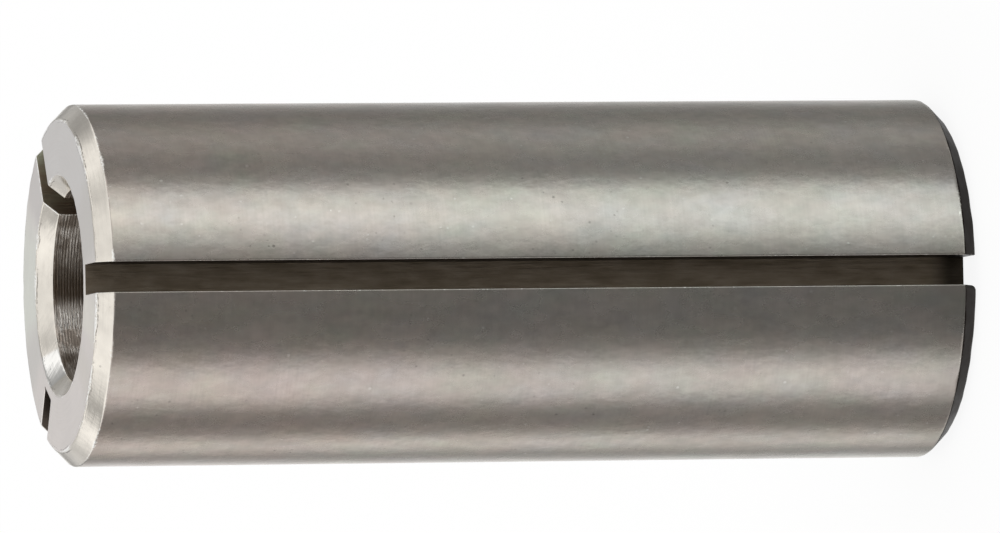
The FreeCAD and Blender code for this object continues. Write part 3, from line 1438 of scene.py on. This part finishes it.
@dataclass(frozen=True)
class ReducerSleeve:
    """The sleeve itself: its skin and its finishes.

    Attributes:
        shape: What builds its skin.
        name: The piece's name.
    """

    shape: SleeveShape
    name: str = "dressed_sleeve"

    def build(self) -> bpy.types.Object:
        """Build the sleeve in place of its plain solid, and dress it.

        Returns:
            The finished piece.
        """
        mesh = self.shape.mesh(self.name)
        for zone in Zone:
            mesh.materials.append(FINISHES[zone].material())
        piece = new_object(self.name, mesh)
        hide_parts("reducer_sleeve")
        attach(piece, "root")
        return piece


@dataclass(frozen=True)
class Viewpoint:
    """Where the photograph was taken from, as a pinhole camera fitted to the outline gives it.

    The photograph shows the sleeve lying, so the camera is rolled by a right angle here.

    Attributes:
        azimuth: The camera's direction from the axis, from +X, in degrees.
        elevation: How far the camera stands above the end faces' planes, in degrees.
        rise: How far the axis rises in the picture, from left to right, in degrees.
        focal_widths: Focal length in picture widths.
        upper_face: Centre of the upper end face: to the right, down and forward of the camera.
        sensor_width: Width of the camera's sensor, in millimetres.
        nearest: Distance from which the camera sees.
    """

    azimuth: float = -122.81
    elevation: float = 14.33
    rise: float = 0.481
    focal_widths: float = 14.313
    upper_face: tuple[float, float, float] = (-14.599 * MM, 0.641 * MM, 473.75 * MM)
    sensor_width: float = 36.0
    nearest: float = 10 * MM

    def axes(self) -> np.ndarray:
        """Work out the camera's right, down and forward directions in the sleeve's own frame.

        The sleeve's directions down its axis, towards the picture's top and towards the camera are
        written once in camera axes and once in its own frame, and the two are multiplied.

        Returns:
            Three lines of (x, y, z).
        """
        tilt = math.radians(self.elevation)
        rise = math.radians(-self.rise)
        turn = math.radians(self.azimuth)
        down_axis = (math.cos(tilt) * math.cos(rise), math.cos(tilt) * math.sin(rise), math.sin(tilt))
        upward = (math.sin(rise), -math.cos(rise), 0.0)
        towards = np.cross(down_axis, upward)
        seen = np.column_stack([down_axis, upward, towards])
        own = np.array([
            (0, 0, -1),
            (-math.sin(turn), math.cos(turn), 0),
            (math.cos(turn), math.sin(turn), 0),
        ])
        return seen @ own

    def place_camera(self, top: float) -> bpy.types.Object:
        """Set up the camera.

        Args:
            top: Height of the upper end face.

        Returns:
            The camera.
        """
        right, down, forward = self.axes()
        place = np.array([0, 0, top]) - np.array(self.upper_face) @ self.axes()
        data = bpy.data.cameras.new("camera")
        data.sensor_fit = "HORIZONTAL"
        data.sensor_width = self.sensor_width
        data.lens = self.focal_widths * self.sensor_width
        data.clip_start = self.nearest
        camera = new_object("camera", data)
        matrix = np.eye(4)
        matrix[:3] = np.column_stack([right, -down, -forward, place])
        camera.matrix_world = Matrix(matrix.tolist())
        bpy.context.scene.camera = camera
        return camera


@dataclass(frozen=True)
class LightStrip(Arc):
    """One upright strip of the studio, which the steel shows as a band along the sleeve.

    Its middle is counted from the photograph's camera, counter-clockwise from above.

    Attributes:
        color: What it adds to the studio's light.
        top: Elevations between which it fades upwards, in degrees.
    """

    color: Color
    top: tuple[float, float] = (-3, 5)


@dataclass(frozen=True)
class Studio:
    """A plain white floor in an even white light.

    Only what shines is shown more: below the horizon the light that it mirrors is split into
    upright strips, as dark cards beside a white tent split it, so that the steel shows bands.
    Above the horizon it is a canopy of paler and darker panels, which the chamfers show.

    Attributes:
        viewpoint: Where the photograph was taken from.
        floor_color: The floor's colour.
        floor_white: Share of plain white in the floor that is looked at, which softens its shadow.
        floor_reach: Half the floor's side.
        horizon: Elevations between which the strips give way to the canopy, in degrees.
        dark: What shiny surfaces mirror between the strips.
        strips: The strips.
        canopy: The canopy's light at azimuths from the photograph's camera, in degrees.
    """

    viewpoint: Viewpoint = Viewpoint()
    floor_color: Color = (0.99, 0.99, 0.99)
    floor_white: float = 0.9
    floor_reach: float = 1.5
    horizon: tuple[float, float] = (-3, 5)
    dark: Color = (0.147, 0.146, 0.141)
    strips: tuple[LightStrip, ...] = (
        LightStrip(51.7, 12.3, 6, (0.895, 0.95, 0.935)),
        LightStrip(33.8, 9, 25.4, (0.865, 0.92, 0.905)),
        LightStrip(-67.1, 14.3, 17.6, (0.80, 0.795, 0.80)),
        LightStrip(-126.4, 9, 21, (0.93, 0.915, 0.89)),
        LightStrip(106.5, 13.4, 16, (0.205, 0.205, 0.20)),
        LightStrip(182.9, 11.9, 60, (1.82, 1.82, 1.82), (-12, 0.5)),
        LightStrip(106.7, 48.9, 9, (0.103, 0.102, 0.10)),
        LightStrip(-83, 44.1, 9.4, (0.095, 0.081, 0.075)),
    )
    canopy: tuple[tuple[float, float], ...] = (
        (10, 0.85), (55, 0.87), (84, 0.80), (94, 0.63), (104, 0.56), (111, 0.96), (117, 1.0),
        (122, 1.06), (127, 0.80), (134, 0.48), (142, 0.31), (149, 0.37), (157, 0.46), (164, 0.51),
        (170, 0.57), (176, 0.67), (184, 0.67), (190, 0.62), (197, 0.60), (204, 0.65), (212, 0.54),
        (219, 0.85), (228, 1.18), (235, 0.88), (241, 0.26), (249, 0.46), (256, 0.93), (268, 1.02),
        (295, 0.99), (340, 0.90),
    )

    def lay_floor(self) -> bpy.types.Object:
        """Lay the floor that the sleeve stands on.

        Returns:
            The floor, which only shiny surfaces don't see.
        """
        reach = self.floor_reach
        corners = [(-reach, -reach, 0), (reach, -reach, 0), (reach, reach, 0), (-reach, reach, 0)]
        mesh = bpy.data.meshes.new("floor")
        mesh.from_pydata(corners, [], [(0, 1, 2, 3)])
        material = bpy.data.materials.new("floor")
        wiring = Wiring.of(material)
        inputs = {"Base Color": self.floor_color, "Roughness": 1.0, "Specular IOR Level": 0.0}
        matt = wiring.add("ShaderNodeBsdfPrincipled", inputs).outputs[0]
        white = wiring.add("ShaderNodeEmission", {"Color": WHITE, "Strength": 1.0}).outputs[0]
        seen = wiring.add("ShaderNodeLightPath").outputs
        looked_at = wiring.math("MAXIMUM", seen["Is Camera Ray"], seen["Is Glossy Ray"])
        looked_at = wiring.math("MAXIMUM", looked_at, seen["Is Transmission Ray"])
        share = wiring.product(looked_at, self.floor_white)
        both = wiring.add("ShaderNodeMixShader", {0: share, 1: matt, 2: white}).outputs[0]
        wiring.add("ShaderNodeOutputMaterial", {"Surface": both})
        mesh.materials.append(material)
        floor = new_object("floor", mesh)
        floor.visible_glossy = False
        return floor

    @staticmethod
    def fade(
        wiring: Wiring, height: Any, elevations: tuple[float, float], below: float, above: float,
    ) -> bpy.types.NodeSocket:
        """Lead between two levels by a direction's z, the sine of its elevation in degrees."""
        low, high = (math.sin(math.radians(angle)) for angle in elevations)
        return wiring.ease(height, low, high, below, above)

    def mirrored_light(self, wiring: Wiring) -> bpy.types.NodeSocket:
        """Draw the light that shiny surfaces mirror.

        Args:
            wiring: The world's wiring.

        Returns:
            Its colour in each direction.
        """
        direction = wiring.add("ShaderNodeTexCoord").outputs["Generated"]
        x, y, z = wiring.add("ShaderNodeSeparateXYZ", {0: direction}).outputs
        azimuth = wiring.product(wiring.math("ARCTAN2", y, x), RADIAN)
        azimuth = wiring.math("SUBTRACT", azimuth, self.viewpoint.azimuth)
        below = self.dark
        for strip in self.strips:
            above = self.fade(wiring, z, strip.top, 1.0, 0.0)
            level = wiring.product(strip.level(wiring, azimuth), above)
            below = wiring.mix(level, below, strip.color, "ADD")
        turn = 2 * HALF_TURN
        share = wiring.math("DIVIDE", wiring.math("WRAP", azimuth, turn, 0.0), turn)
        ramp = wiring.add("ShaderNodeValToRGB", {0: share})
        stops = ramp.color_ramp.elements
        for angle, level in self.canopy:
            stops.new(angle / turn).color = (level, level, level, 1)
        stops.remove(stops[-1])
        stops.remove(stops[0])
        return wiring.mix(self.fade(wiring, z, self.horizon, 0.0, 1.0), below, ramp.outputs[0])

    def light(self) -> bpy.types.World:
        """Light the studio with its world.

        Returns:
            The world.
        """
        world = bpy.data.worlds.new("studio")
        wiring = Wiring.of(world)
        backdrops = []
        for color in (WHITE, self.mirrored_light(wiring)):
            inputs = {"Color": color, "Strength": 1.0}
            backdrops.append(wiring.add("ShaderNodeBackground", inputs).outputs[0])
        glossy = wiring.add("ShaderNodeLightPath").outputs["Is Glossy Ray"]
        both = wiring.add("ShaderNodeMixShader", {0: glossy, 1: backdrops[0], 2: backdrops[1]})
        wiring.add("ShaderNodeOutputWorld", {"Surface": both.outputs[0]})
        world.cycles.sampling_method = "NONE"
        bpy.context.scene.world = world
        return world

    def build(self, top: float) -> None:
        """Set up floor, light, camera and view.

        Args:
            top: Height of the sleeve's upper end face.
        """
        self.lay_floor()
        self.light()
        self.viewpoint.place_camera(top)
        bpy.context.scene.view_settings.view_transform = "Standard"


def main() -> None:
    """Build the sleeve and its studio, and report each piece."""
    logging.basicConfig(level=logging.INFO, format="%(name)s: %(message)s")
    sizes = SleeveSizes.from_frame(frame["record"], hi.z - lo.z)
    piece = ReducerSleeve(SleeveShape(sizes)).build()
    LOG.info("%s: %d faces", piece.name, len(piece.data.polygons))
    Studio().build(sizes.length)
    LOG.info("floor, light and camera are set up")


if __name__ == "__main__":
    main()
